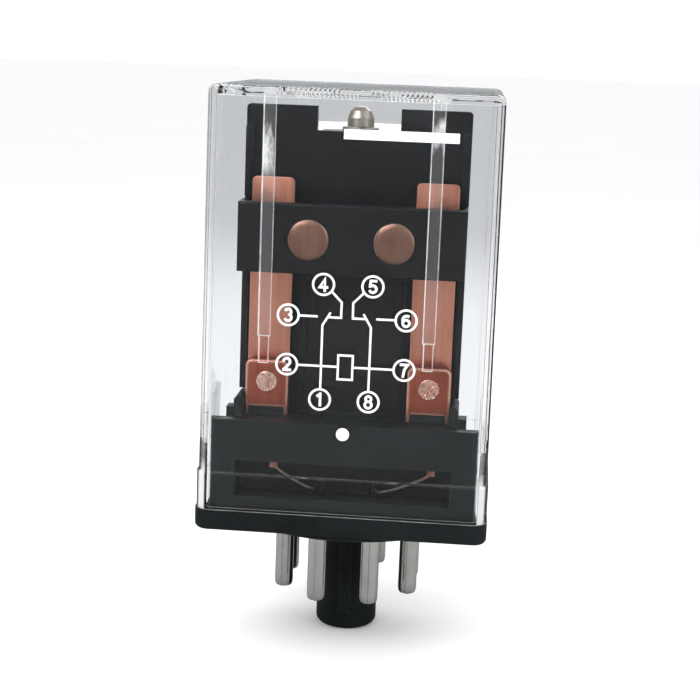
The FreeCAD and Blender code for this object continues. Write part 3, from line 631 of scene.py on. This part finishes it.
# solder on the pin tips: a lumpy bead each
bm = bmesh.new()
for k in range(1, 9):
    lo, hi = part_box("pin_%d" % k)
    cx, cy, tip = (lo.x + hi.x) / 2 / MM, (lo.y + hi.y) / 2 / MM, lo.z / MM
    ph = rnd.uniform(0, 6.28)
    prof = [(0.68, tip + 0.09), (0.745, tip + 0.07), (0.75, tip + 0.02), (0.71, tip - 0.06), (0.6, tip - 0.13), (0.44, tip - 0.2), (0.26, tip - 0.25), (0.1, tip - 0.275)]
    rings = []
    for r, zz in prof:
        ring = []
        for i in range(28):
            a = 2 * math.pi * i / 28
            rr = r * (1 + 0.05 * math.sin(2 * a + ph) + 0.03 * math.sin(5 * a + 2 * ph)) if r < 0.76 else r
            ring.append(bm.verts.new(((cx + rr * math.cos(a)) * MM, (cy + rr * math.sin(a)) * MM, (zz + 0.02 * math.sin(3 * a + ph)) * MM)))
        rings.append(ring)
    lathe_rings(bm, rings)
    bm.faces.new(rings[-1])
    bm.faces.new(list(reversed(rings[0])))
stand_for(make("pin_solder_beads", bm, "solder", 60.0), "pin_solder")


# ------------------------------------------------------------------ staked rivets in the brackets, struck by a toothed punch
def stake(side):
    node = "bracket_rivet_" + side
    lo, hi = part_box(node)
    cx, cz = (lo.x + hi.x) / 2 / MM, (lo.z + hi.z) / 2 / MM
    y0, y1 = lo.y / MM, hi.y / MM
    turn = math.radians(-4 if side == "left" else -24)
    bm = bmesh.new()
    rings = []
    sides = 72
    radii = [0.04] + [1.16 * i / 22 for i in range(1, 23)] + [1.2, 1.235, 1.25, 1.25]
    for q, r in enumerate(radii):
        ring = []
        for i in range(sides):
            a = 2 * math.pi * i / sides
            x, z = r * math.cos(a), r * math.sin(a)
            u = x * math.cos(turn) + z * math.sin(turn)
            v = -x * math.sin(turn) + z * math.cos(turn)
            h = 0.0
            if r <= 1.17:
                fade = min(1.0, (1.17 - r) / 0.14)
                wave = u / 0.36 + 0.12 * math.sin(v * 2.1) + 0.08 * math.sin(v * 5 + u * 3)
                h = 0.15 * fade * (0.5 - 0.5 * math.cos(2 * math.pi * wave)) ** 0.7
                h += 0.05 * fade * (0.5 + 0.5 * math.sin(v * 7.5 + 2.2 * math.sin(u * 6)))
                h -= 0.09 * fade
            edge = {len(radii) - 4: 0.012, len(radii) - 3: 0.035, len(radii) - 2: 0.09, len(radii) - 1: 0.32}.get(q, 0.0)
            ring.append(bm.verts.new(((cx + x) * MM, (y0 + 0.05 + edge + h) * MM, (cz + z) * MM)))
        rings.append(ring)
    lathe_rings(bm, rings)
    bm.faces.new(list(reversed(rings[0])))
    # shank through the strips
    ring = rings[-1]
    for r, y in ((0.72, y0 + 0.34), (0.72, y1 - 0.02), (0.68, y1)):
        nxt = [bm.verts.new(((cx + r * math.cos(2 * math.pi * i / sides)) * MM, y * MM, (cz + r * math.sin(2 * math.pi * i / sides)) * MM)) for i in range(sides)]
        lathe_rings(bm, [ring, nxt])
        ring = nxt
    bm.faces.new(ring)
    return stand_for(make(node + "_struck", bm, "rivet_bright", 32.0), node)


M["rivet_bright"] = rolled_metal("rivet_bright", (0.30, 0.10, 0.065), (0.72, 0.38, 0.28), (1.0, 0.80, 0.70), blotch=1500, rough=(0.2, 0.36), edge=(1.0, 0.84, 0.76), edge_r=0.00006)
stake("left")
stake("right")


# ------------------------------------------------------------------ coil: layered winding with its turns, and a film tape
def winding():
    lo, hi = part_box("coil_winding")
    cx, cy = (lo.x + hi.x) / 2 / MM, (lo.y + hi.y) / 2 / MM
    z0, z1 = lo.z / MM, hi.z / MM
    tlo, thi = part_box("coil_tape")
    t0, t1 = tlo.z / MM, thi.z / MM
    sides, wire = 96, 0.17
    bm = bmesh.new()
    prof = [(4.8, z0), (8.30, z0)]
    z = z0 + 0.02
    while z + wire < z1:
        if t0 + 0.5 < z < t1 - 0.5 - wire:
            prof.append((8.44, z))
            z += 1.2
            z = min(z, t1 - 0.5 - wire) if z > t1 - 0.5 - wire else z
            if z >= t1 - 0.5 - wire - 1e-6:
                z = t1 - 0.5
            continue
        layer = 8.44 if rnd.random() > 0.06 else 8.40
        prof += [(layer - 0.07, z), (layer + 0.035, z + wire * 0.22), (layer + 0.058, z + wire * 0.5), (layer + 0.035, z + wire * 0.78)]
        z += wire
    prof += [(8.32, z1), (4.8, z1)]
    rings = []
    for r, zz in prof:
        ring = []
        for i in range(sides):
            a = 2 * math.pi * i / sides
            lead = wire * i / sides - wire / 2 if z0 + 0.3 < zz < z1 - 0.3 and r > 8 else 0.0
            ring.append(bm.verts.new(((cx + r * math.cos(a)) * MM, (cy + r * math.sin(a)) * MM, (zz + lead) * MM)))
        rings.append(ring)
    lathe_rings(bm, rings, closed=True)
    stand_for(make("coil_winding_turns", bm, "winding", 60.0), "coil_winding")

    # tape: 1.2 turns of film, its free end behind
    bm = bmesh.new()
    steps, rows = 168, 16
    start = math.radians(60)
    total = 2 * math.pi * 1.2
    outer, inner = [], []
    for i in range(steps + 1):
        s = i / steps
        a = start + total * s
        lift = 0.11 * min(1.0, max(0.0, (total * s - 2 * math.pi + 0.25) / 0.25))
        co, ci = [], []
        for j in range(rows + 1):
            t = j / rows
            zz = t0 + (t1 - t0) * t
            ruck = 0.018 * math.sin(a * 9 + 4 * t) * math.exp(-min(t, 1 - t) / 0.08) + 0.008 * math.sin(a * 3 + 9 * t)
            wav = 0.05 * math.sin(a * 2.3 + 1.1) + 0.03 * math.sin(a * 5.1)
            zz += wav * (1 if t in (0, 1) else 0.3)
            r = 8.545 + lift + max(0.0, ruck)
            ci.append(bm.verts.new(((cx + r * math.cos(a)) * MM, (cy + r * math.sin(a)) * MM, zz * MM)))
            r += 0.075
            co.append(bm.verts.new(((cx + r * math.cos(a)) * MM, (cy + r * math.sin(a)) * MM, zz * MM)))
        outer.append(co)
        inner.append(ci)
    for i in range(steps):
        for j in range(rows):
            bm.faces.new((outer[i][j], outer[i + 1][j], outer[i + 1][j + 1], outer[i][j + 1]))
            bm.faces.new((inner[i][j], inner[i][j + 1], inner[i + 1][j + 1], inner[i + 1][j]))
        bm.faces.new((outer[i][0], inner[i][0], inner[i + 1][0], outer[i + 1][0]))
        bm.faces.new((outer[i][rows], outer[i + 1][rows], inner[i + 1][rows], inner[i][rows]))
    for i in (0, steps):
        for j in range(rows):
            bm.faces.new((outer[i][j], outer[i][j + 1], inner[i][j + 1], inner[i][j]))
    stand_for(make("coil_tape_wrap", bm, "tape", 40.0), "coil_tape")


winding()


# ------------------------------------------------------------------ return spring: ground ends
def spring():
    lo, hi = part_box("return_spring")
    cx, cy = 0.0, -6.75
    z0, z1 = lo.z / MM + 0.15, hi.z / MM - 0.15
    wire, rad = 0.15, 1.05
    dead, live = 1.0, 4.0
    pts = []
    total = live + 2 * dead
    steps = int(total * 30)
    for i in range(steps + 1):
        q = i / steps * total
        rise0 = wire * 2.06 * min(q, dead)
        rise1 = wire * 2.06 * max(0.0, q - dead - live)
        mid = max(0.0, min(q - dead, live)) / live * (z1 - z0 - 2 * wire * 2.06 * dead)
        a = 2 * math.pi * q
        pts.append(Vector(((cx + rad * math.cos(a)) * MM, (cy + rad * math.sin(a)) * MM, (z0 + rise0 + mid + rise1) * MM)))
    bm = bmesh.new()
    rings = []
    for i, p in enumerate(pts):
        t = (pts[min(i + 1, len(pts) - 1)] - pts[max(i - 1, 0)]).normalized()
        out = Vector((p.x - cx * MM, p.y - cy * MM, 0)).normalized()
        side = t.cross(out).normalized()
        out = side.cross(t)
        rings.append([bm.verts.new(p + (out * math.cos(u) + side * math.sin(u)) * wire * MM) for u in (2 * math.pi * s / 12 for s in range(12))])
    lathe_rings(bm, rings)
    bm.faces.new(rings[0])
    bm.faces.new(rings[-1])
    ob = make("return_spring_coils", bm, "spring_steel", 60.0)
    stand_for(ob, "return_spring", body=False)
    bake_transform(ob)


spring()

# ------------------------------------------------------------------ leads
for s, side in ((-1, "left"), (1, "right")):
    xt = {"left": -8.85, "right": 10.6}[side]
    px = s * 3.339
    ob = tube("common_lead_%s_wire" % side, [(xt, -11.25, 8.2), (xt - s * 0.2, -11.38, 7.85), (xt - s * 0.7, -11.33, 7.35), (s * 6.4, -11.12, 6.2 if side == "left" else 5.7), (s * 4.3, -10.9, 5.1), (s * 3.85, -10.0, 5.0),
                                             (px, -8.3, 5.0), (px, -8.06, 4.5), (px, -8.06, 2.0), (px, -8.06, -1.3)], 0.19, "lead_copper", res=12, sides=16)
    bm = bmesh.new()
    bm.from_mesh(ob.data)
    prof = [(-10.8, 9.8), (-10.4, 9.8), (-10.8, 8.8), (-11.18, 7.82), (-11.25, 7.72), (-11.4, 7.64), (-11.55, 7.68), (-11.2, 8.7)]
    faces = [[bm.verts.new(((xt + d) * MM, y * MM, z * MM)) for y, z in prof] for d in (-0.47, 0.47)]
    tail = [bm.faces.new(faces[0]), bm.faces.new(list(reversed(faces[1])))]
    for i in range(len(prof)):
        j = (i + 1) % len(prof)
        tail.append(bm.faces.new((faces[0][i], faces[1][i], faces[1][j], faces[0][j])))
    hard = list({e for f in tail for e in f.edges if e.calc_face_angle(0.0) > 0.7})
    bmesh.ops.bevel(bm, geom=hard, offset=0.05 * MM, offset_type="OFFSET", segments=2, profile=0.5, affect="EDGES", clamp_overlap=True)
    bmesh.ops.recalc_face_normals(bm, faces=bm.faces)
    bm.to_mesh(ob.data)
    bm.free()
    stand_for(ob, "common_lead_" + side)
    a = math.radians(22.5 + 45)
    qx, qy = s * 8.725 * math.sin(a), -8.725 * math.cos(a)
    ob = tube("coil_lead_%s_wire" % side, [(s * 8.75, 3.3, 16.9), (s * 9.2, 1.6, 17.1), (s * 9.75, -0.1, 17.35), (s * 9.98, -1.3, 17.1), (s * 9.95, -1.6, 15.6), (s * 9.95, -1.6, 12.0), (s * 9.95, -1.6, 8.0),
                                           (s * 9.8, -1.9, 6.4), (s * 8.6, -2.9, 5.5), (qx, qy, 4.9), (qx, qy, 3.0), (qx, qy, -1.3)], 0.29, "lead_sleeve", res=12, sides=16)
    stand_for(ob, "coil_lead_" + side)


# ------------------------------------------------------------------ white print on the cover's front face
def hw(z):
    """Half width of the cover at height z, mm."""
    return 17.45 + (17.2 - 17.45) * (z - 3.6) / (54.2 - 3.6)


INK = bmesh.new()


def ink_prism(outline, holes=()):
    """A closed outline (x, z in mm) as ink on the front face."""
    def ring(pts, lift):
        return [INK.verts.new((x * MM, (-hw(z) - lift) * MM, z * MM)) for x, z in pts]
    top, bot = ring(outline, 0.03), ring(outline, 0.006)
    n = len(outline)
    for i in range(n):
        j = (i + 1) % n
        INK.faces.new((top[i], top[j], bot[j], bot[i]))
    if not holes:
        INK.faces.new(top)
        INK.faces.new(list(reversed(bot)))
        return
    hole = holes[0]
    t2, b2 = ring(hole, 0.03), ring(hole, 0.006)
    for i in range(n):
        j = (i + 1) % n
        INK.faces.new((t2[i], b2[i], b2[j], t2[j]))
        INK.faces.new((top[i], t2[i], t2[j], top[j]))
        INK.faces.new((bot[i], bot[j], b2[j], b2[i]))


def ink_line(points, width=0.25, closed=False, cap=True):
    """A stroke of even width with mitred corners."""
    pts = [Vector(p) for p in points]
    n = len(pts)
    if not closed and cap:
        pts[0] = pts[0] + (pts[0] - pts[1]).normalized() * width * 0.28
        pts[-1] = pts[-1] + (pts[-1] - pts[-2]).normalized() * width * 0.28
    left, rightp = [], []
    for i, p in enumerate(pts):
        if closed:
            a, c = pts[i - 1], pts[(i + 1) % n]
        else:
            a, c = pts[max(i - 1, 0)], pts[min(i + 1, n - 1)]
        d0 = (p - a).normalized() if (p - a).length > 0 else (c - p).normalized()
        d1 = (c - p).normalized() if (c - p).length > 0 else d0
        m = (d0 + d1)
        m = m.normalized() if m.length > 0.05 else Vector((-d1.y, d1.x))
        nrm = Vector((-m.y, m.x))
        k = width / 2 / max(0.45, abs(m.dot(d1)))
        left.append(p + nrm * k)
        rightp.append(p - nrm * k)

    def row(p, lift):
        return INK.verts.new((p.x * MM, (-hw(p.y) - lift) * MM, p.y * MM))
    sect = [(row(a, 0.03), row(c, 0.03), row(c, 0.006), row(a, 0.006)) for a, c in zip(left, rightp)]
    last = n if closed else n - 1
    for i in range(last):
        q, w = sect[i], sect[(i + 1) % n]
        for h in range(4):
            g = (h + 1) % 4
            INK.faces.new((q[h], q[g], w[g], w[h]))
    if not closed:
        INK.faces.new(sect[0])
        INK.faces.new(tuple(reversed(sect[-1])))


def circle_pts(cx, cz, r, n=48):
    return [(cx + r * math.cos(2 * math.pi * i / n), cz + r * math.sin(2 * math.pi * i / n)) for i in range(n)]


marks = {4: (-2.85, 31.66), 5: (2.92, 31.66), 3: (-6.88, 27.86), 6: (6.96, 27.86), 2: (-6.88, 21.96), 7: (6.96, 21.96), 1: (-2.85, 17.92), 8: (2.92, 17.92)}
for k, (cx, cz) in marks.items():
    ink_prism(circle_pts(cx, cz, 1.36), [circle_pts(cx, cz, 1.10)])
for s, o in ((-1, 0.02), (1, 0.04)):
    ink_line([(s * 1.78 + o, 30.78), (s * 0.66 + o, 29.63), (s * 0.68 + o, 27.82), (s * 2.10 + o, 27.82)])
    ink_line([(s * 2.84 + o, 19.28), (s * 2.84 + o, 26.84), (s * 1.96 + o, 28.32)])
    ink_line([(s * 5.53 + o, 27.86), (s * 3.50 + o, 27.86)])
    ink_line([(s * 5.55 + o, 21.96), (s * 0.92 + o, 21.96)])
ink_line([(-0.82, 23.36), (0.90, 23.36), (0.90, 20.48), (-0.82, 20.48)], 0.25, closed=True)
ink_prism(circle_pts(0.03, 13.81, 0.78))
ink_prism([(-1.12, 48.56), (12.12, 48.56), (12.12, 49.70), (-1.12, 49.70)])


def arc(cx, cz, r, a0, a1, n=14):
    return [(cx + r * math.cos(math.radians(a0 + (a1 - a0) * i / n)), cz + r * math.sin(math.radians(a0 + (a1 - a0) * i / n))) for i in range(n + 1)]


DIGITS = {
    1: [[(-0.30, 0.40), (0.06, 0.70)], [(0.06, 0.78), (0.06, -0.76)]],
    2: [arc(0, 0.33, 0.40, 172, -38) + [(-0.36, -0.66)], [(-0.44, -0.68), (0.46, -0.68)]],
    3: [arc(-0.02, 0.36, 0.36, 150, -75), arc(-0.02, -0.32, 0.40, 75, -150)],
    4: [[(0.16, -0.80), (0.16, 0.66), (-0.44, -0.34), (0.48, -0.34)]],
    5: [[(0.40, 0.70), (-0.26, 0.70), (-0.34, 0.06)] + arc(0.0, -0.27, 0.42, 128, -150)],
    6: [arc(0, -0.31, 0.40, 0, 345), arc(0.06, 0.10, 0.48, 62, 205, 10)],
    7: [[(-0.44, 0.68), (0.42, 0.68), (0.04, 0.05), (-0.10, -0.80)]],
    8: [arc(0, 0.37, 0.33, 0, 345), arc(0, -0.35, 0.41, 0, 345)],
}
for k, (cx, cz) in marks.items():
    for stroke in DIGITS[k]:
        ring = len(stroke) > 12 and (Vector(stroke[0]) - Vector(stroke[-1])).length < 0.25
        ink_line([(cx + x * 0.98, cz + z * 0.98) for x, z in stroke], 0.30, closed=ring)
bmesh.ops.triangulate(INK, faces=[f for f in INK.faces if len(f.verts) > 4])
ink = make("cover_print", INK, "print_white", 30.0)
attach(ink, "frame")

# ------------------------------------------------------------------ view settings
scene.view_settings.view_transform = "Standard"
scene.view_settings.look = "None"
scene.view_settings.exposure = 0.0
scene.view_settings.gamma = 1.0
scene.cycles.max_bounces = 14
scene.cycles.transmission_bounces = 14
scene.cycles.transparent_max_bounces = 16
scene.cycles.glossy_bounces = 5
scene.cycles.diffuse_bounces = 4
scene.cycles.caustics_reflective = False
scene.cycles.caustics_refractive = True
scene.cycles.sample_clamp_indirect = 6.0
